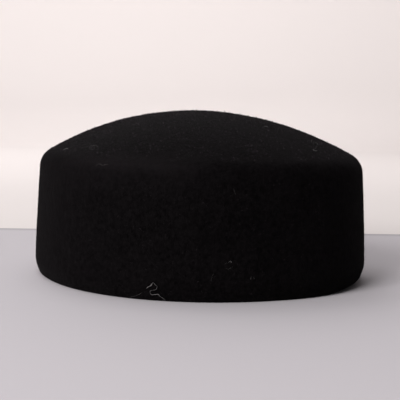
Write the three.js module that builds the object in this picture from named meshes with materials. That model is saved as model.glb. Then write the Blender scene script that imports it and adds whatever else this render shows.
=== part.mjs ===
// A pillbox hat of blocked felt: one piece of felt, hollow and open below, that stands on its lower edge.
// The wall leans in a little as it rises, a rounded shoulder leads into a low domed crown, and the lower
// edge is turned in and lies against the inside of the wall as a hem. At one side the edge bows up a little.
// Millimetres, +Z up. The origin is the middle of the lower edge, on the surface that the hat stands on.
// X runs across the hat and Y from its front (-Y) to its back (+Y).
import * as THREE from "three";

// The oval plan, over the widest part of the wall
const HAT_WIDTH = 170;
const HAT_DEPTH = 190;
const OVAL_SQUARENESS = 2.15; // exponent of the oval: 2 is an ellipse, more is squarer

// The felt
const FELT = 2.5;
const FOLD_RADIUS = 0.72 * FELT; // outside of the fold that the felt makes under the edge

// The wall
const WALL_HEIGHT = 57.3; // from the lower edge to where the shoulder starts to turn
const WALL_LEAN = 2.2; // how far the wall has come in at its top
const LEAN_CURVE = 1.5; // 1 leans in evenly, more leans in mostly near the top
const EDGE_HEIGHT = 8.5; // the widest level, under which the wall curves in to the edge
const EDGE_TUCK = 1.65; // how far it comes in under that level
const HEM_HEIGHT = 14; // how far the turned-in felt goes up inside

// The lower edge isn't quite level: at one side it bows up off the surface
const EDGE_LIFT = 2.8; // how far, where it is highest
const LIFT_DIRECTION = -0.18 * Math.PI; // where that is, round from +X
const LIFT_SPREAD = 0.27 * Math.PI; // how far round it reaches, each way
const LIFT_HEIGHT = 24; // how far up the wall it fades out

// The shoulder and the crown
const SHOULDER_RADIUS = 10.6;
const CROWN_RISE = 21.7; // from the end of the shoulder to the crown's middle
const CROWN_SLANT = 1.5; // how much fuller the crown is at the back

// Facets: how many steps each stretch of the section takes, and how many go round the hat
const FOLD_STEPS = 3;
const HEM_STEPS = 3;
const EDGE_STEPS = 3;
const WALL_STEPS = 6;
const SHOULDER_STEPS = 6;
const CROWN_STEPS = 10;
const ROUND_STEPS = 72;

const HALF_WIDTH = HAT_WIDTH / 2;
const HALF_DEPTH = HAT_DEPTH / 2;
const BLACK_FELT = new THREE.MeshStandardMaterial({ color: 0x1c1a1b, roughness: 0.95, metalness: 0 });

// Steps from one value to the next, without the first.
function steps(from, to, count) {
  return Array.from({ length: count }, (_, i) => from + ((to - from) * (i + 1)) / count);
}

// How far the outside of the wall stands in from the widest level, at a height.
function wallInset(height) {
  const above = Math.max(0, (height - EDGE_HEIGHT) / (WALL_HEIGHT - EDGE_HEIGHT));
  const below = Math.max(0, (EDGE_HEIGHT - height) / (EDGE_HEIGHT - FOLD_RADIUS));
  return WALL_LEAN * above ** LEAN_CURVE + EDGE_TUCK * below ** 2;
}

// An arc of the section, between two directions of its outward face in radians above level.
function arc(centre, radius, from, to, count) {
  return [from, ...steps(from, to, count)].map(
    (a) => new THREE.Vector2(centre.x + radius * Math.cos(a), centre.y + radius * Math.sin(a)),
  );
}

// The shoulder's arc starts square to the wall and ends where the crown has the same slope. The crown's
// slope depends on the radius that the arc leaves it, so a few rounds settle the two.
function shoulder() {
  const wallFace = Math.atan((WALL_LEAN * LEAN_CURVE) / (WALL_HEIGHT - EDGE_HEIGHT));
  const centre = new THREE.Vector2(
    HALF_WIDTH - WALL_LEAN - SHOULDER_RADIUS * Math.cos(wallFace),
    WALL_HEIGHT - SHOULDER_RADIUS * Math.sin(wallFace),
  );
  let crownFace = Math.PI / 3;
  for (let round = 0; round < 8; round++) {
    const crownRadius = centre.x + SHOULDER_RADIUS * Math.cos(crownFace);
    crownFace = Math.PI / 2 - Math.atan((2 * CROWN_RISE) / crownRadius);
  }
  return { centre, wallFace, crownFace };
}

const SHOULDER = shoulder();
const CROWN_RADIUS = SHOULDER.centre.x + SHOULDER_RADIUS * Math.cos(SHOULDER.crownFace);
const CROWN_FOOT = SHOULDER.centre.y + SHOULDER_RADIUS * Math.sin(SHOULDER.crownFace);

// The section of the outside, through the side of the hat, from the foot of the fold up to the middle.
function outerSection() {
  const foldCentre = new THREE.Vector2(HALF_WIDTH - EDGE_TUCK - FOLD_RADIUS, FOLD_RADIUS);
  const heights = [
    ...steps(FOLD_RADIUS, EDGE_HEIGHT, EDGE_STEPS),
    ...steps(EDGE_HEIGHT, WALL_HEIGHT, WALL_STEPS).slice(0, -1),
  ];
  return {
    fold: arc(foldCentre, FOLD_RADIUS, -Math.PI / 2, 0, FOLD_STEPS),
    wall: heights.map((z) => new THREE.Vector2(HALF_WIDTH - wallInset(z), z)),
    shoulder: arc(SHOULDER.centre, SHOULDER_RADIUS, SHOULDER.wallFace, SHOULDER.crownFace, SHOULDER_STEPS),
    crown: steps(1, 0, CROWN_STEPS).map(
      (share) => new THREE.Vector2(CROWN_RADIUS * share, CROWN_FOOT + CROWN_RISE * (1 - share ** 2)),
    ),
  };
}

// The section of the inside, from the middle down to the foot of the hem: the outside set in by the felt,
// and by a second felt where the hem lies against the wall.
function innerSection() {
  const crown = steps(0, 1, CROWN_STEPS).map((share) => {
    const outside = new THREE.Vector2(CROWN_RADIUS * share, CROWN_FOOT + CROWN_RISE * (1 - share ** 2));
    const face = new THREE.Vector2((2 * CROWN_RISE * share) / CROWN_RADIUS, 1).normalize();
    return outside.addScaledVector(face, -FELT);
  });
  const middle = new THREE.Vector2(0, CROWN_FOOT + CROWN_RISE - FELT);
  const turn = arc(
    SHOULDER.centre, SHOULDER_RADIUS - FELT,
    SHOULDER.crownFace, SHOULDER.wallFace, SHOULDER_STEPS,
  ).slice(1);
  const wall = steps(WALL_HEIGHT, HEM_HEIGHT, WALL_STEPS).map(
    (z) => new THREE.Vector2(HALF_WIDTH - wallInset(z) - FELT, z),
  );
  const hemFace = (z) => HALF_WIDTH - wallInset(z) - 2 * FELT;
  const hemRound = FELT / 2;
  const hemTop = arc(
    new THREE.Vector2(hemFace(HEM_HEIGHT) + hemRound, HEM_HEIGHT - hemRound),
    hemRound, Math.PI / 2, Math.PI, FOLD_STEPS,
  );
  const hem = steps(HEM_HEIGHT - hemRound, FOLD_RADIUS, HEM_STEPS)
    .slice(0, -1)
    .map((z) => new THREE.Vector2(hemFace(z), z));
  const fold = arc(
    new THREE.Vector2(hemFace(FOLD_RADIUS) + FOLD_RADIUS, FOLD_RADIUS),
    FOLD_RADIUS, Math.PI, 1.5 * Math.PI, FOLD_STEPS,
  );
  return [middle, ...crown, ...turn, ...wall, ...hemTop, ...hem, ...fold];
}

// The oval's radius in a direction from the middle.
function ovalRadius(cos, sin) {
  const n = OVAL_SQUARENESS;
  return (Math.abs(cos / HALF_WIDTH) ** n + Math.abs(sin / HALF_DEPTH) ** n) ** (-1 / n);
}

// A smooth hump: 1 in its middle, and 0 from its reach on.
function hump(distance, reach) {
  return (1 + Math.cos(Math.PI * Math.min(1, Math.abs(distance) / reach))) / 2;
}

// How far the felt stands up off its level place where the edge bows up, in a direction and at a height.
function edgeLift(direction, height) {
  return EDGE_LIFT * hump(direction - LIFT_DIRECTION, LIFT_SPREAD) * hump(height, LIFT_HEIGHT);
}

// Draws a lathed, round hat out to the oval: the wall takes the whole of the oval's extra radius, which
// fades over the crown to none in the middle, where the crown's slant is at its strongest.
function drawToOval(geometry) {
  const position = geometry.getAttribute("position");
  for (let i = 0; i < position.count; i++) {
    const radius = Math.hypot(position.getX(i), position.getY(i));
    const direction = Math.atan2(position.getY(i), position.getX(i));
    const cos = Math.cos(direction);
    const sin = Math.sin(direction);
    const share = Math.min(1, radius / CROWN_RADIUS);
    const drawn = radius + (ovalRadius(cos, sin) - HALF_WIDTH) * Math.sin((share * Math.PI) / 2);
    const slant = ((CROWN_SLANT * drawn * sin) / HALF_DEPTH) * (1 - share ** 2);
    const height = position.getZ(i);
    position.setXYZ(i, drawn * cos, drawn * sin, height + slant + edgeLift(direction, height));
  }
  geometry.computeVertexNormals();
  return geometry;
}

function feltCrown() {
  const outer = outerSection();
  const section = [
    ...innerSection(),
    ...outer.fold,
    ...outer.wall,
    ...outer.shoulder,
    ...outer.crown,
  ];
  const round = new THREE.LatheGeometry(section, ROUND_STEPS).rotateX(Math.PI / 2);
  const mesh = new THREE.Mesh(drawToOval(round), BLACK_FELT);
  mesh.name = "felt_crown";
  return mesh;
}

const hat = new THREE.Group();
hat.name = "pillbox_hat";
hat.add(feltCrown());

export default hat;
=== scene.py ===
"""A pillbox hat of black blocked wool felt: its felt, its short nap and the lint on it."""
import math

import bmesh
import bpy
import numpy as np
from mathutils import Matrix, Vector, noise
from mathutils.bvhtree import BVHTree


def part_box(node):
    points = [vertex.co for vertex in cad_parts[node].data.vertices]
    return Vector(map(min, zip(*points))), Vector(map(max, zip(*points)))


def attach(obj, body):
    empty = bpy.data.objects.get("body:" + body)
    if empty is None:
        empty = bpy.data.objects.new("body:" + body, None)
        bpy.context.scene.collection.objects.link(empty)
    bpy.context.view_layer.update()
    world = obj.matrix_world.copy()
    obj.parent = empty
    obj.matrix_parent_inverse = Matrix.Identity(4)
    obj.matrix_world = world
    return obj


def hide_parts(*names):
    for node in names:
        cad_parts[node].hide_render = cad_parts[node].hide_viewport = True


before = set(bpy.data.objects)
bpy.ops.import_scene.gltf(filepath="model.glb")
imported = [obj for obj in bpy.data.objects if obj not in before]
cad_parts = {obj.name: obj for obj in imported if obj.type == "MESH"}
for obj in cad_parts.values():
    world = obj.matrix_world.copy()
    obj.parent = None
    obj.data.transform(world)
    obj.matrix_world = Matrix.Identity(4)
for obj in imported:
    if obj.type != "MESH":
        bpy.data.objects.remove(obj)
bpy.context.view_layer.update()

MM = 0.001
SEED = 36

# The hat's sizes, in metres. The oval's width and depth come from the frame.
_, high_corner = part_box("felt_crown")
HALF_WIDTH = high_corner.x
HALF_DEPTH = high_corner.y
OVAL_SQUARENESS = 2.15  # exponent of the oval: 2 is an ellipse, more is squarer
FELT = 2.5 * MM
FOLD_RADIUS = 0.72 * FELT
WALL_HEIGHT = 57.3 * MM
WALL_LEAN = 2.2 * MM
LEAN_CURVE = 1.5  # 1 leans in evenly, more leans in mostly near the top
EDGE_HEIGHT = 8.5 * MM
EDGE_TUCK = 1.65 * MM
HEM_HEIGHT = 14 * MM
EDGE_LIFT = 2.8 * MM  # how far the lower edge bows up at one side
LIFT_DIRECTION = -0.18 * math.pi
LIFT_SPREAD = 0.27 * math.pi
LIFT_HEIGHT = 24 * MM
SHOULDER_RADIUS = 10.6 * MM
CROWN_RISE = 21.7 * MM
CROWN_SLANT = 1.5 * MM  # how much fuller the crown is at the back

# How many steps each stretch of the section takes, and how many go round the hat
FOLD_STEPS = 6
EDGE_STEPS = 5
WALL_STEPS = 14
SHOULDER_STEPS = 8
CROWN_STEPS = 24
INNER_CROWN_STEPS = 16
INNER_SHOULDER_STEPS = 6
INNER_WALL_STEPS = 10
HEM_STEPS = 4
ROUND_STEPS = 128
SETTLING_ROUNDS = 8  # how often the shoulder and the crown's slope are fitted to each other
MERGE_DISTANCE = 0.001 * MM

# How uneven the blocked felt is: broad swells in two layers, and a fine pebble
SWELL_SIZE = 26 * MM
SWELL_HEIGHT = 0.16  # in millimetres
SWELL_LAYERS = 2
LAYER_FALL = 1.0
LAYER_RATIO = 2.0  # with that fall, the finer layer has half the size and half the height
PEBBLE_SIZE = 4.5 * MM
PEBBLE_HEIGHT = 0.03  # in millimetres
LEVEL_FOOT = 4 * MM  # under this height the unevenness fades out, so that the hat stands level

# Where a painted highlight makes the felt lighter: a band along the crown's edge at the front-left
# shoulder, standing in for the gleam of the lamps there
HIGHLIGHT_DIRECTION = math.radians(-143)
HIGHLIGHT_START = 71 * MM  # how far out that way it starts
HIGHLIGHT_FULL = 86 * MM
HIGHLIGHT_BY_HEIGHT = (  # heights in millimetres, with how strong the painted highlight is there
    (46, 0), (54, 0.25), (59.5, 0.4), (61.6, 0.66), (63.5, 1), (65.4, 0.68), (68.5, 0),
)

# Which faces are which: the outside looks away from a point in the hollow, and the top looks up
HOLLOW_MIDDLE = Vector((0, 0, 30 * MM))
TOP_UPWARD = 0.85  # the least upward share of a normal on the crown's top
NAP_FOOT = 1.0 * MM  # the wall's nap starts above this height

# The felt's grain: how often each pattern repeats in a metre
PEBBLE_GRAIN = 460
SWELL_GRAIN = 60
DIMPLE_GRAIN = 200
MATTED_GRAIN = 2300
MATTED_GRAIN_ALONG = 520
FIBRE_LOT_GRAIN = 700
MATTED_TURNS = ((0.3, 0.2, 0.0), (1.4, 0.5, 0.9), (0.8, 1.5, 2.1), (2.2, 0.9, 1.2))  # about X, Y and Z
GRAIN_SHARES = (0.45, 0.45, 0.1)  # of the pebble, the matted fibres and the swells
DIMPLE_DEPTH = 1.3 * MM
MATTED_DEPTH = 0.5 * MM
BUMP_STRENGTH = 0.8
HIGHLIGHT_BASE = 0.45  # added to the pebble's pattern, so that the painted highlight lightens the felt between pebbles too

# Colours, as linear shares of red, green and blue
FELT_DARK = (0.0009, 0.0007, 0.0008)
FELT_LIGHT = (0.0044, 0.0037, 0.0040)
# The painted highlight's colour along the shoulder, lighter than the felt
FELT_HIGHLIGHT = (0.0066, 0.0055, 0.0060)
FELT_BLOOM = (0.98, 0.90, 0.93)
NAP_DARK = (0.0018, 0.0015, 0.0017)
NAP_LIGHT = (0.0090, 0.0075, 0.0084)
STRAY_DARK = (0.010, 0.0080, 0.0090)
STRAY_LIGHT = (0.048, 0.039, 0.044)
LINT_DARK = (0.045, 0.041, 0.042)
LINT_LIGHT = (0.150, 0.138, 0.140)
FLOOR_GREY = (0.464, 0.433, 0.455)
BACKDROP_WHITE = (1.0, 0.92, 0.90)

# A fibre of the nap: a ribbon from its root by its middle to its tip
ROOT_DEPTH = 0.12 * MM
ROOT_PART = 0.5  # share of the length from the root to the middle
TIP_PART = 0.45
FIBRE_CURL = 0.35  # spread of how far a fibre bends to a side over its length
CURL_BACK = 0.4  # how much of that bend the tip turns back
TIP_RISE = (-0.5, 0.9)  # how far the tip rises over the middle, as a share of the middle's rise
RIBBON_TILT = 0.7  # spread of how the ribbons are turned about their length
MIDDLE_WIDTH = 0.8  # of the width at the root
SHORTEST = 0.45  # with the bias, the shortest fibre is 0.3 of the longest
LENGTH_BIAS = 1.5  # over 1, more of the fibres are short
LOWEST_RISE = 0.05  # of the middle off the felt, as a share of the length
NORMAL_DIGITS = 5  # that are kept of the felt's normals

# The view: where the camera stands from the hat's middle, and what it sees
IMAGE_SIDE = 400
FOCAL_PIXELS = 1227.0
SHIFT_PIXELS = 1.9  # how far the picture's frame is shifted to the right
VIEW_TURN = math.radians(22.11)  # from straight in front, round towards -X
VIEW_DISTANCE = 657.8 * MM
VIEW_HEIGHT = 100.1 * MM
HORIZON_ROW = 87.2  # the picture's row at the camera's own height
VIEW_ROLL = math.radians(0.9)
SENSOR_WIDTH = 36.0  # in millimetres, as the camera takes it
SIGHT_START = 10 * MM
SIGHT_END = 20.0

# The stage, by distances behind the hat's middle
FLOOR_START = -3.0
FLOOR_END = 192.8 * MM
FLOOR_SHADOW_LENGTH = 14 * MM  # over this length the floor's end turns darker: a painted shadow of the gap where it meets the backdrop
SWEEP_START = 1.4
SWEEP_RADIUS = 0.8
SWEEP_STEPS = 12
BACKDROP_TOP = 3.0  # height
STAGE_HALF_LENGTH = 4.0
ROOM_GLOW = 0.1
# Shares of a surface's colour, each with the distance where it has that share: painted shade, darker at the
# floor's far end and low on the backdrop
# Painted shadow on the floor: it turns darker over its last stretch, at the gap where it meets the backdrop
FLOOR_PAINTED_SHADE = ((-1.0, 1.0), (FLOOR_END - FLOOR_SHADOW_LENGTH, 1.0), (FLOOR_END, 0.7))
# Painted shade on the backdrop: darkest at its foot by the floor, lighter higher up the sweep
BACKDROP_PAINTED_SHADE = ((FLOOR_END, 0.65), (0.30, 0.68), (0.67, 0.74), (1.3, 0.74), (1.65, 0.90), (2.0, 1.0))

rng = np.random.default_rng(SEED)


# The shape of the hat

def steps(first, last, count):
    """Evenly from the first value to the last, without the first."""
    return [first + (last - first) * (i + 1) / count for i in range(count)]


def wall_inset(height):
    """How far the outside of the wall stands in from the widest level."""
    above = max(0.0, (height - EDGE_HEIGHT) / (WALL_HEIGHT - EDGE_HEIGHT))
    below = max(0.0, (EDGE_HEIGHT - height) / (EDGE_HEIGHT - FOLD_RADIUS))
    return WALL_LEAN * above ** LEAN_CURVE + EDGE_TUCK * below ** 2


def arc(centre, radius, first, last, count):
    """Points of an arc, by the direction in which its face looks."""
    return [
        (centre[0] + radius * math.cos(a), centre[1] + radius * math.sin(a))
        for a in [first] + steps(first, last, count)
    ]


def shoulder_arc():
    """The shoulder's centre, the directions where it starts and ends, and the crown's radius and foot."""
    start = math.atan(WALL_LEAN * LEAN_CURVE / (WALL_HEIGHT - EDGE_HEIGHT))
    across = HALF_WIDTH - WALL_LEAN - SHOULDER_RADIUS * math.cos(start)
    up = WALL_HEIGHT - SHOULDER_RADIUS * math.sin(start)
    end = math.pi / 3
    for _ in range(SETTLING_ROUNDS):
        crown_radius = across + SHOULDER_RADIUS * math.cos(end)
        end = math.pi / 2 - math.atan(2 * CROWN_RISE / crown_radius)
    return (across, up), start, end, crown_radius, up + SHOULDER_RADIUS * math.sin(end)


SHOULDER_CENTRE, WALL_FACE, CROWN_FACE, CROWN_RADIUS, CROWN_FOOT = shoulder_arc()


def outside_section():
    """The outside, through the side of the hat, from under the fold to the crown's middle."""
    fold_centre = (HALF_WIDTH - EDGE_TUCK - FOLD_RADIUS, FOLD_RADIUS)
    fold = arc(fold_centre, FOLD_RADIUS, -math.pi / 2, 0, FOLD_STEPS)
    heights = steps(FOLD_RADIUS, EDGE_HEIGHT, EDGE_STEPS) + steps(EDGE_HEIGHT, WALL_HEIGHT, WALL_STEPS)[:-1]
    wall = [(HALF_WIDTH - wall_inset(z), z) for z in heights]
    turn = arc(SHOULDER_CENTRE, SHOULDER_RADIUS, WALL_FACE, CROWN_FACE, SHOULDER_STEPS)
    crown = [
        (CROWN_RADIUS * share, CROWN_FOOT + CROWN_RISE * (1 - share * share))
        for share in steps(1, 0, CROWN_STEPS)
    ]
    return fold + wall + turn + crown


def inside_section():
    """The inside, from the crown's middle down to under the hem."""
    points = [(0.0, CROWN_FOOT + CROWN_RISE - FELT)]
    for share in steps(0, 1, INNER_CROWN_STEPS):
        slope = 2 * CROWN_RISE * share / CROWN_RADIUS
        set_in = FELT / math.hypot(1, slope)
        height = CROWN_FOOT + CROWN_RISE * (1 - share * share)
        points.append((CROWN_RADIUS * share - slope * set_in, height - set_in))
    turn = arc(SHOULDER_CENTRE, SHOULDER_RADIUS - FELT, CROWN_FACE, WALL_FACE, INNER_SHOULDER_STEPS)
    points += turn[1:]
    heights = steps(WALL_HEIGHT, HEM_HEIGHT, INNER_WALL_STEPS)
    points += [(HALF_WIDTH - wall_inset(z) - FELT, z) for z in heights]
    hem_round = FELT / 2
    hem_face = HALF_WIDTH - 2 * FELT
    hem_top = (hem_face - wall_inset(HEM_HEIGHT) + hem_round, HEM_HEIGHT - hem_round)
    points += arc(hem_top, hem_round, math.pi / 2, math.pi, HEM_STEPS)
    heights = steps(HEM_HEIGHT - hem_round, FOLD_RADIUS, HEM_STEPS)[:-1]
    points += [(hem_face - wall_inset(z), z) for z in heights]
    foot = (hem_face - wall_inset(FOLD_RADIUS) + FOLD_RADIUS, FOLD_RADIUS)
    return points + arc(foot, FOLD_RADIUS, math.pi, 1.5 * math.pi, FOLD_STEPS)


def oval_radius(cos, sin):
    """The oval's radius in a direction from the middle."""
    n = OVAL_SQUARENESS
    return (abs(cos / HALF_WIDTH) ** n + abs(sin / HALF_DEPTH) ** n) ** (-1 / n)


def hump(distance, reach):
    """A smooth hump: 1 in its middle, and 0 from its reach on."""
    return (1 + math.cos(math.pi * min(1.0, abs(distance) / reach))) / 2


def edge_lift(direction, height):
    """How far the felt stands up off its level place where the lower edge bows up."""
    return EDGE_LIFT * hump(direction - LIFT_DIRECTION, LIFT_SPREAD) * hump(height, LIFT_HEIGHT)


def drawn_to_oval(x, y, z):
    """Where a point of the round hat comes to lie when the hat is drawn out to its oval plan."""
    radius = math.hypot(x, y)
    direction = math.atan2(y, x)
    cos = math.cos(direction)
    sin = math.sin(direction)
    share = min(1.0, radius / CROWN_RADIUS)
    drawn = radius + (oval_radius(cos, sin) - HALF_WIDTH) * math.sin(share * math.pi / 2)
    slant = CROWN_SLANT * drawn * sin / HALF_DEPTH * (1 - share ** 2)
    return Vector((drawn * cos, drawn * sin, z + slant + edge_lift(direction, z)))


def unevenness(place):
    """How far blocked felt stands off its true form at a place: broad swells and a fine pebble."""
    swell = noise.fractal(place / SWELL_SIZE, LAYER_FALL, LAYER_RATIO, SWELL_LAYERS)
    pebble = noise.noise(place / PEBBLE_SIZE)
    return (SWELL_HEIGHT * swell + PEBBLE_HEIGHT * pebble) * MM


def felt_shell():
    """The felt, inside and out, as one closed skin spun from its section."""
    bm = bmesh.new()
    corners = [bm.verts.new((r, 0, z)) for r, z in inside_section() + outside_section()]
    edges = [bm.edges.new(pair) for pair in zip(corners, corners[1:])]
    bmesh.ops.spin(
        bm, geom=corners + edges, cent=(0, 0, 0), axis=(0, 0, 1), angle=2 * math.pi, steps=ROUND_STEPS,
        use_merge=True,
    )
    bmesh.ops.remove_doubles(bm, verts=bm.verts, dist=MERGE_DISTANCE)
    for v in bm.verts:
        v.co = drawn_to_oval(*v.co)
    bmesh.ops.recalc_face_normals(bm, faces=bm.faces)
    bm.normal_update()
    moves = [v.normal * unevenness(v.co) * min(1.0, max(0.0, v.co.z / LEVEL_FOOT)) for v in bm.verts]
    for v, move in zip(bm.verts, moves):
        v.co += move
    bm.normal_update()
    return bm


# The parts of the felt

def looks_out(place, normal):
    """Whether the felt at a place is on the outside of the hat."""
    return normal.dot(place - HOLLOW_MIDDLE) > 0


def is_outside(face):
    return looks_out(face.calc_center_median(), face.normal)


def is_crown(face):
    return is_outside(face) and face.calc_center_median().z > WALL_HEIGHT


def is_top(face):
    return is_outside(face) and face.normal.z > TOP_UPWARD


def is_wall(face):
    return is_outside(face) and NAP_FOOT < face.calc_center_median().z <= WALL_HEIGHT


def painted_highlight(place, normal):
    """How strong the painted highlight is, from 0 to 1: a band along the crown's edge, at one side of the
    front.
    """
    if not looks_out(place, normal):
        return 0.0
    along = place.x * math.cos(HIGHLIGHT_DIRECTION) + place.y * math.sin(HIGHLIGHT_DIRECTION)
    share = min(1.0, max(0.0, (along - HIGHLIGHT_START) / (HIGHLIGHT_FULL - HIGHLIGHT_START)))
    heights, strengths = zip(*HIGHLIGHT_BY_HEIGHT)
    return share * share * (3 - 2 * share) * float(np.interp(place.z / MM, heights, strengths))


# Making pieces

def piece(name, mesh, material, smooth=True):
    obj = bpy.data.objects.new(name, mesh)
    bpy.context.scene.collection.objects.link(obj)
    mesh.materials.append(material)
    mesh.polygons.foreach_set("use_smooth", [smooth] * len(mesh.polygons))
    mesh.update()
    return obj


def rides_on_hat(obj):
    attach(obj, "root")
    return obj


# Materials

def set_inputs(tree, node, inputs):
    """Links each input of a node to the socket that is given for it, or sets it to the value."""
    for key, value in inputs.items():
        if isinstance(value, bpy.types.NodeSocket):
            tree.links.new(value, node.inputs[key])
        else:
            node.inputs[key].default_value = value


def linked(tree, kind, inputs=None, **values):
    """A new node with its properties and its inputs."""
    node = tree.nodes.new(kind)
    for key, value in values.items():
        setattr(node, key, value)
    set_inputs(tree, node, inputs or {})
    return node


def new_material(name):
    """A new material, its node tree, its shader and the place on the piece that its patterns read."""
    material = bpy.data.materials.new(name)
    material.use_nodes = True
    tree = material.node_tree
    place = linked(tree, "ShaderNodeTexCoord").outputs["Object"]
    return material, tree, tree.nodes["Principled BSDF"], place


def noise_at(tree, place, scale, detail, roughness=0.55, distortion=0.0):
    node = linked(tree, "ShaderNodeTexNoise", {
        "Vector": place, "Scale": scale, "Detail": detail, "Roughness": roughness, "Distortion": distortion,
    })
    return node.outputs["Fac"]


def fibres_along(tree, place, turn):
    """Streaks like matted fibres, all in one direction."""
    turned = linked(tree, "ShaderNodeMapping", {
        "Vector": place, "Rotation": turn, "Scale": (MATTED_GRAIN, MATTED_GRAIN, MATTED_GRAIN_ALONG),
    })
    return noise_at(tree, turned.outputs["Vector"], 1.0, detail=2.0, roughness=0.5, distortion=0.6)


def maths(tree, operation, a, b):
    return linked(tree, "ShaderNodeMath", {0: a, 1: b}, operation=operation).outputs[0]


def taken_together(tree, operation, values):
    """All the values made one, by the same operation one after another."""
    whole = values[0]
    for value in values[1:]:
        whole = maths(tree, operation, whole, value)
    return whole


def coloured(tree, share, stops):
    """A colour ramp over a share from 0 to 1, by (share, colour)."""
    node = linked(tree, "ShaderNodeValToRGB", {"Fac": share})
    elements = node.color_ramp.elements
    while len(elements) < len(stops):
        elements.new(0.5)
    for element, (stop, colour) in zip(elements, stops):
        element.position = stop
        element.color = (*colour, 1)
    return node.outputs["Color"]


def felt_finish():
    """Black wool felt: matted fibres over a fine pebble, a painted highlight along the front-left shoulder,
    and a soft bloom where it is seen at a slant.
    """
    material, tree, shader, place = new_material("black_wool_felt")
    matted = taken_together(tree, "MAXIMUM", [fibres_along(tree, place, turn) for turn in MATTED_TURNS])
    pebble = noise_at(tree, place, PEBBLE_GRAIN, detail=5, roughness=0.66)
    swells = noise_at(tree, place, SWELL_GRAIN, detail=2)
    grain = taken_together(tree, "ADD", [
        maths(tree, "MULTIPLY", pattern, share)
        for pattern, share in zip((pebble, matted, swells), GRAIN_SHARES)
    ])
    plain_grain = coloured(tree, grain, [(0.43, FELT_DARK), (0.65, FELT_LIGHT)])
    # The painted highlight: a lighter colour mixed in along the shoulder's band, where the lamps gleam on
    # the felt.
    highlight_share = linked(tree, "ShaderNodeAttribute", attribute_name="painted_highlight").outputs["Fac"]
    highlight = maths(tree, "MULTIPLY", highlight_share, maths(tree, "ADD", pebble, HIGHLIGHT_BASE))
    # In this node, inputs 6 and 7 and output 2 are the ones for colours.
    highlighted = linked(tree, "ShaderNodeMix", {
        "Factor": highlight, 6: plain_grain, 7: (*FELT_HIGHLIGHT, 1),
    }, data_type="RGBA").outputs[2]
    dimples = noise_at(tree, place, DIMPLE_GRAIN, detail=7, roughness=0.74)
    pebbled = linked(tree, "ShaderNodeBump", {
        "Height": dimples, "Strength": BUMP_STRENGTH, "Distance": DIMPLE_DEPTH,
    }).outputs["Normal"]
    fibrous = linked(tree, "ShaderNodeBump", {
        "Height": matted, "Strength": BUMP_STRENGTH, "Distance": MATTED_DEPTH, "Normal": pebbled,
    }).outputs["Normal"]
    set_inputs(tree, shader, {
        "Base Color": highlighted, "Roughness": 0.95, "Specular IOR Level": 0.0,
        "Sheen Weight": 0.0175, "Sheen Roughness": 0.3, "Sheen Tint": (*FELT_BLOOM, 1),
        "Coat Weight": 0.12, "Coat IOR": 1.135, "Coat Roughness": 0.6,
        "Normal": fibrous, "Coat Normal": fibrous,
    })
    return material


def fibre_finish(name, dark, light, sheen):
    """Loose wool fibres, each lot a little lighter or darker than the next."""
    material, tree, shader, place = new_material(name)
    lot = noise_at(tree, place, FIBRE_LOT_GRAIN, detail=2)
    set_inputs(tree, shader, {
        "Base Color": coloured(tree, lot, [(0.35, dark), (0.65, light)]),
        "Roughness": 0.8, "Specular IOR Level": 0.0, "Sheen Weight": sheen, "Sheen Roughness": 0.4,
    })
    return material


def stage_finish(name, colour, painted_shades):
    """A surface with painted shade: other shares of its colour at other distances behind the hat."""
    material, tree, shader, place = new_material(name)
    turned = linked(tree, "ShaderNodeMapping", {"Vector": place, "Rotation": (0, 0, VIEW_TURN)})
    behind = linked(tree, "ShaderNodeSeparateXYZ", {0: turned.outputs["Vector"]}).outputs["Y"]
    first = painted_shades[0][0]
    last = painted_shades[-1][0]
    share = linked(tree, "ShaderNodeMapRange", {
        "Value": behind, "From Min": first, "From Max": last,
    }).outputs["Result"]
    stops = [
        ((distance - first) / (last - first), tuple(part * shade for part in colour))
        for distance, shade in painted_shades
    ]
    set_inputs(tree, shader, {
        "Base Color": coloured(tree, share, stops), "Roughness": 0.9, "Specular IOR Level": 0.1,
    })
    return material


# The nap

def unit(vectors):
    return vectors / np.linalg.norm(vectors, axis=1)[:, None]


def points_on(bm, count, wanted):
    """Places spread evenly over the wanted faces, with the felt's smooth normal there."""
    # The faces come in another order from run to run, which also tells in the last digits of the normals.
    triangles = sorted(sorted(v.index for v in f.verts) for f in bm.faces if wanted(f))
    corners = np.array([tuple(v.co) for v in bm.verts])[triangles]
    normals = np.round([tuple(v.normal) for v in bm.verts], NORMAL_DIGITS)[triangles]
    spans = np.cross(corners[:, 1] - corners[:, 0], corners[:, 2] - corners[:, 0])
    areas = np.linalg.norm(spans, axis=1)
    chosen = rng.choice(len(triangles), count, p=areas / areas.sum())
    a, b = rng.random((2, count))
    over = a + b > 1
    a[over] = 1 - a[over]
    b[over] = 1 - b[over]
    weights = np.stack([1 - a - b, a, b], 1)[:, :, None]
    return (corners[chosen] * weights).sum(1), unit((normals[chosen] * weights).sum(1))


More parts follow.
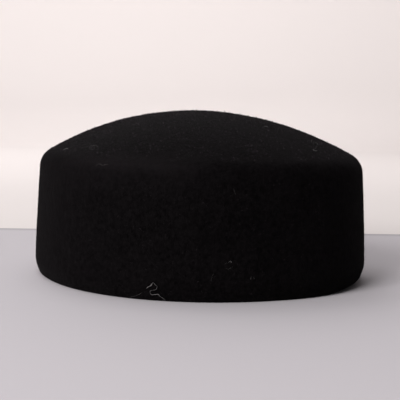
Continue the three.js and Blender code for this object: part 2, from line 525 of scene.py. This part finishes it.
def fibre_mesh(name, place, normal, length, lift, width):
    """Short bent fibres, each a ribbon that tapers to its tip, as one mesh."""
    count = len(place)
    along = unit(np.cross(normal, unit(rng.normal(size=(count, 3)))))
    side = np.cross(normal, along)
    curl = rng.normal(0, FIBRE_CURL, (count, 1))
    rise = lift[:, None]
    reach = length[:, None]
    middle = place + along * reach * ROOT_PART + side * reach * curl * ROOT_PART + normal * rise
    tip_rise = rise * rng.uniform(*TIP_RISE, (count, 1))
    tip = middle + along * reach * TIP_PART - side * reach * curl * CURL_BACK + normal * tip_rise
    root = place - normal * ROOT_DEPTH
    edge = unit(side + normal * rng.normal(0, RIBBON_TILT, (count, 1))) * (width / 2)
    inner = edge * MIDDLE_WIDTH
    # A ribbon has five points, and two faces: four corners up to its middle, and three from there on.
    points = np.stack([root - edge, root + edge, middle + inner, middle - inner, tip], 1)
    points[:, :, 2] = np.maximum(points[:, :, 2], 0)
    first = np.arange(count)[:, None] * points.shape[1]
    lower = (first + np.array([0, 1, 2, 3])).ravel()
    upper = (first + np.array([3, 2, 4])).ravel()
    mesh = bpy.data.meshes.new(name)
    mesh.vertices.add(points.size // 3)
    mesh.vertices.foreach_set("co", points.ravel())
    mesh.loops.add(len(lower) + len(upper))
    mesh.loops.foreach_set("vertex_index", np.concatenate([lower, upper]))
    mesh.polygons.add(2 * count)
    starts = np.concatenate([np.arange(0, len(lower), 4), len(lower) + np.arange(0, len(upper), 3)])
    mesh.polygons.foreach_set("loop_start", starts)
    mesh.validate()
    return mesh


def nap(name, bm, wanted, material, count, longest, width, upright):
    """One lot of fibres. Their middles lie off the felt by at most the upright share of their length."""
    place, normal = points_on(bm, count, wanted)
    length = rng.uniform(SHORTEST, 1.0, count) ** LENGTH_BIAS * longest
    lift = length * rng.uniform(LOWEST_RISE, upright, count)
    mesh = fibre_mesh(name, place, normal, length, lift, width)
    rides_on_hat(piece(name, mesh, material, smooth=False))


# The lint

# Each line has its points as the picture's column and row, how many millimetres the thread lies off the
# felt there, and its share of the full thickness.
LINT_THREAD_THICKNESS = 0.2 * MM
LINT_THREAD = [
    [
        (146.6, 288.4, 0.2, 0.5), (148.4, 286.7, 0.5, 2.0), (151.4, 285.3, 0.6, 2.1),
        (153.3, 282.7, 0.3, 0.8), (155.6, 284.5, 0.7, 0.6), (157.6, 286.1, 1.0, 0.8),
        (156.4, 288.8, 0.8, 0.6), (153.7, 289.9, 0.5, 0.5), (151.0, 290.3, 0.9, 0.8),
        (152.0, 293.3, 1.1, 1.2), (154.9, 293.9, 0.7, 1.2), (158.3, 294.0, 0.4, 1.1),
        (160.2, 295.6, 0.5, 0.9), (163.7, 298.3, 0.6, 0.7), (165.6, 299.3, 0.8, 0.5),
    ],
    [(130.5, 297.0, 0.5, 0.3), (134, 296.1, 0.4, 0.35), (138.5, 294.5, 0.4, 0.35), (142, 292.3, 0.3, 0.3)],
]
LINT_CURL_THICKNESS = 0.13 * MM
LINT_CURLS = [
    [(62.5, 150.9, 0.2, 0.6), (64.8, 149.9, 0.4, 1.6), (67, 149.3, 0.5, 1.8), (68.8, 149.8, 0.3, 0.7)],
    [
        (90, 149, 0.2, 0.5), (91, 146.6, 0.4, 0.6), (93, 146.2, 0.4, 0.6), (94.4, 148, 0.3, 0.5),
        (93, 150, 0.2, 0.5), (91.8, 148.2, 0.4, 0.5), (95, 146, 0.5, 0.6), (97, 146.6, 0.4, 0.6),
        (98, 149, 0.2, 0.6), (96.4, 150.6, 0.2, 0.4),
    ],
    [
        (96.5, 165.6, 0.1, 0.4), (99, 164.3, 0.3, 0.5), (101.5, 164.7, 0.3, 0.5), (103, 165.9, 0.2, 0.3),
        (106, 164.7, 0.3, 0.5), (108.5, 165.2, 0.1, 0.3),
    ],
    [(263.5, 127.5, 0.1, 0.6), (266, 127, 0.4, 1.8), (268, 127.6, 0.1, 0.9)],
    [(311.8, 139.8, 0.3, 0.7), (311.2, 143, 0.3, 0.6)],
    [
        (313, 144.6, 0.2, 0.4), (315.6, 143.2, 0.4, 0.6), (316.6, 146, 0.3, 0.5), (315, 149, 0.2, 0.6),
        (313.4, 150.9, 0.4, 2.2), (315.4, 151.5, 0.4, 2.2), (317.2, 150.7, 0.2, 0.6),
    ],
    [(225, 263.8, 0.1, 0.3), (228.6, 262.4, 0.2, 0.4), (230.6, 261.1, 0.4, 1.1), (231.2, 262.8, 0.3, 1.5)],
    [(226, 268.4, 0.1, 0.3), (229, 269, 0.2, 0.4), (232, 266.6, 0.2, 0.3)],
    [(250.4, 279.2, 0.2, 1.3), (251, 277.0, 0.4, 0.9)],
    [(253.4, 276.8, 0.3, 0.9), (254.2, 279.0, 0.3, 1.3)],
    [(211, 281, 0.1, 0.3), (211.6, 277.6, 0.3, 0.4), (213.2, 274, 0.1, 0.3)],
    [(233.4, 189, 0.1, 0.3), (234.6, 192, 0.2, 0.4), (235.6, 194.4, 0.1, 0.3)],
]
THREAD_ROUNDNESS = 1  # gives the threads six sides
THREAD_STEPS = 5  # between two points of a line


def seen_on_felt(tree, x, y):
    """The place on the felt at a pixel of the picture, and the way the felt faces there."""
    right, up, forward = view_axes()
    eye = on_stage(0, -VIEW_DISTANCE, VIEW_HEIGHT)
    across = (x - IMAGE_SIDE / 2 + SHIFT_PIXELS) / FOCAL_PIXELS
    above = (IMAGE_SIDE / 2 - y) / FOCAL_PIXELS
    ray = (forward + right * across + up * above).normalized()
    place, normal, _, _ = tree.ray_cast(eye, ray)
    return place, normal


def threads(name, tree, lines, thickness, material):
    """Loose threads on the felt, as mesh tubes along the given lines."""
    data = bpy.data.curves.new(name, "CURVE")
    data.dimensions = "3D"
    data.bevel_depth = thickness / 2
    data.bevel_resolution = THREAD_ROUNDNESS
    data.resolution_u = THREAD_STEPS
    data.use_fill_caps = True
    for line in lines:
        spline = data.splines.new("BEZIER")
        spline.bezier_points.add(len(line) - 1)
        for point, (x, y, off, share) in zip(spline.bezier_points, line):
            place, normal = seen_on_felt(tree, x, y)
            point.co = place + normal * (off * MM)
            point.radius = share
            point.handle_left_type = "AUTO"
            point.handle_right_type = "AUTO"
    drawn = bpy.data.objects.new(name, data)
    mesh = bpy.data.meshes.new_from_object(drawn)
    bpy.data.objects.remove(drawn)
    bpy.data.curves.remove(data)
    mesh.name = name
    rides_on_hat(piece(name, mesh, material))


# Camera, light and stage

def on_stage(across, behind, height):
    """A place given as the camera sees it: right of the hat's middle, behind it and above the floor."""
    return Vector((
        across * math.cos(VIEW_TURN) + behind * math.sin(VIEW_TURN),
        behind * math.cos(VIEW_TURN) - across * math.sin(VIEW_TURN),
        height,
    ))


def view_axes():
    """The camera's right, up and forward directions."""
    pitch = math.atan((IMAGE_SIDE / 2 - HORIZON_ROW) / FOCAL_PIXELS)
    right = on_stage(1, 0, 0)
    level = on_stage(0, 1, 0)
    forward = level * math.cos(pitch) - Vector((0, 0, math.sin(pitch)))
    up = right.cross(forward)
    turned_right = right * math.cos(VIEW_ROLL) + up * math.sin(VIEW_ROLL)
    turned_up = up * math.cos(VIEW_ROLL) - right * math.sin(VIEW_ROLL)
    return turned_right, turned_up, forward


def add_camera():
    data = bpy.data.cameras.new("photo_view")
    data.sensor_width = SENSOR_WIDTH
    data.lens = FOCAL_PIXELS * SENSOR_WIDTH / IMAGE_SIDE
    data.shift_x = SHIFT_PIXELS / IMAGE_SIDE
    data.clip_start = SIGHT_START
    data.clip_end = SIGHT_END
    camera = bpy.data.objects.new("photo_view", data)
    bpy.context.scene.collection.objects.link(camera)
    right, up, forward = view_axes()
    camera.matrix_world = Matrix((right, up, -forward)).transposed().to_4x4()
    camera.location = on_stage(0, -VIEW_DISTANCE, VIEW_HEIGHT)
    bpy.context.scene.camera = camera


def add_sheet(name, profile, material):
    """A stage surface: a line of points behind the hat and up, drawn out to both sides."""
    bm = bmesh.new()
    verts = [bm.verts.new(on_stage(-STAGE_HALF_LENGTH, behind, height)) for behind, height in profile]
    edges = [bm.edges.new(pair) for pair in zip(verts, verts[1:])]
    drawn = bmesh.ops.extrude_edge_only(bm, edges=edges)["geom"]
    across = on_stage(2 * STAGE_HALF_LENGTH, 0, 0)
    bmesh.ops.translate(bm, verts=[g for g in drawn if isinstance(g, bmesh.types.BMVert)], vec=across)
    bmesh.ops.recalc_face_normals(bm, faces=bm.faces)
    mesh = bpy.data.meshes.new(name)
    bm.to_mesh(mesh)
    bm.free()
    piece(name, mesh, material)


def add_stage():
    floor = stage_finish("grey_floor", FLOOR_GREY, FLOOR_PAINTED_SHADE)
    backdrop = stage_finish("warm_white_backdrop", BACKDROP_WHITE, BACKDROP_PAINTED_SHADE)
    add_sheet("floor", [(FLOOR_START, 0), (FLOOR_END, 0)], floor)
    sweep = arc((SWEEP_START, SWEEP_RADIUS), SWEEP_RADIUS, -math.pi / 2, 0, SWEEP_STEPS)
    top = (SWEEP_START + SWEEP_RADIUS, BACKDROP_TOP)
    add_sheet("backdrop", [(FLOOR_END, 0)] + sweep + [top], backdrop)


def add_area_light(name, place, target, size, power):
    data = bpy.data.lights.new(name, "AREA")
    data.shape = "SQUARE"
    data.size = size
    data.energy = power
    lamp = bpy.data.objects.new(name, data)
    bpy.context.scene.collection.objects.link(lamp)
    lamp.location = place
    lamp.rotation_euler = (target - place).to_track_quat("-Z", "Y").to_euler()


def add_lights():
    hat_middle = Vector((0, 0, 50 * MM))
    backdrop_foot = on_stage(0.0, 2.0, 0.25)
    # Each light by its place on the stage, what it shines at, its size in metres and its watts
    for name, place, target, size, power in (
        ("front_light", (-1.0, -1.6, 1.0), hat_middle, 1.0, 47.5),
        ("low_light", (-1.5, -1.4, 0.4), hat_middle, 0.8, 12.0),
        ("side_light", (-1.7, -0.2, 0.6), hat_middle, 1.2, 1.4),
        ("top_light", (-0.35, 0.2, 2.2), hat_middle, 2.4, 20.0),
        ("back_light", (-0.6, 0.9, 1.6), hat_middle, 1.2, 7.3),
        ("rim_light", (-0.2, 1.3, 0.8), hat_middle, 0.8, 3.4),
        ("backdrop_light", (0.0, 1.0, 0.9), backdrop_foot, 1.0, 1.4),
    ):
        add_area_light(name, on_stage(*place), target, size, power)
    world = bpy.data.worlds.new("soft_room")
    world.use_nodes = True
    background = world.node_tree.nodes["Background"]
    background.inputs["Color"].default_value = (1.0, 1.0, 1.0, 1)
    background.inputs["Strength"].default_value = ROOM_GLOW
    bpy.context.scene.world = world
    bpy.context.scene.view_settings.view_transform = "Standard"


# The hat on its stage

add_camera()
add_stage()
add_lights()

shell = felt_shell()
shell_mesh = bpy.data.meshes.new("felt_hat")
shell.to_mesh(shell_mesh)
# Each point's share of the painted highlight along the shoulder.
highlight_shares = shell_mesh.attributes.new("painted_highlight", "FLOAT", "POINT")
highlight_shares.data.foreach_set("value", [painted_highlight(v.co, v.normal) for v in shell.verts])
hat = rides_on_hat(piece("felt_hat", shell_mesh, felt_finish()))
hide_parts("felt_crown")

bmesh.ops.triangulate(shell, faces=shell.faces)
shell.verts.index_update()
fibres = fibre_finish("nap_fibres", NAP_DARK, NAP_LIGHT, sheen=0.02)
strays = fibre_finish("stray_fibres", STRAY_DARK, STRAY_LIGHT, sheen=0.02)
nap("crown_nap", shell, is_crown, fibres, count=50000, longest=1.5 * MM, width=0.045 * MM, upright=0.32)
nap("wall_nap", shell, is_wall, fibres, count=60000, longest=1.3 * MM, width=0.045 * MM, upright=0.32)
nap("crown_strays", shell, is_top, strays, count=4500, longest=1.15 * MM, width=0.35 * MM, upright=0.6)
nap("wall_strays", shell, is_wall, strays, count=1800, longest=1.5 * MM, width=0.07 * MM, upright=0.5)

felt_surface = BVHTree.FromBMesh(shell)
shell.free()
pale_lint = fibre_finish("pale_lint", LINT_DARK, LINT_LIGHT, sheen=0.05)
threads("lint_thread", felt_surface, LINT_THREAD, LINT_THREAD_THICKNESS, pale_lint)
threads("lint_curls", felt_surface, LINT_CURLS, LINT_CURL_THICKNESS, pale_lint)
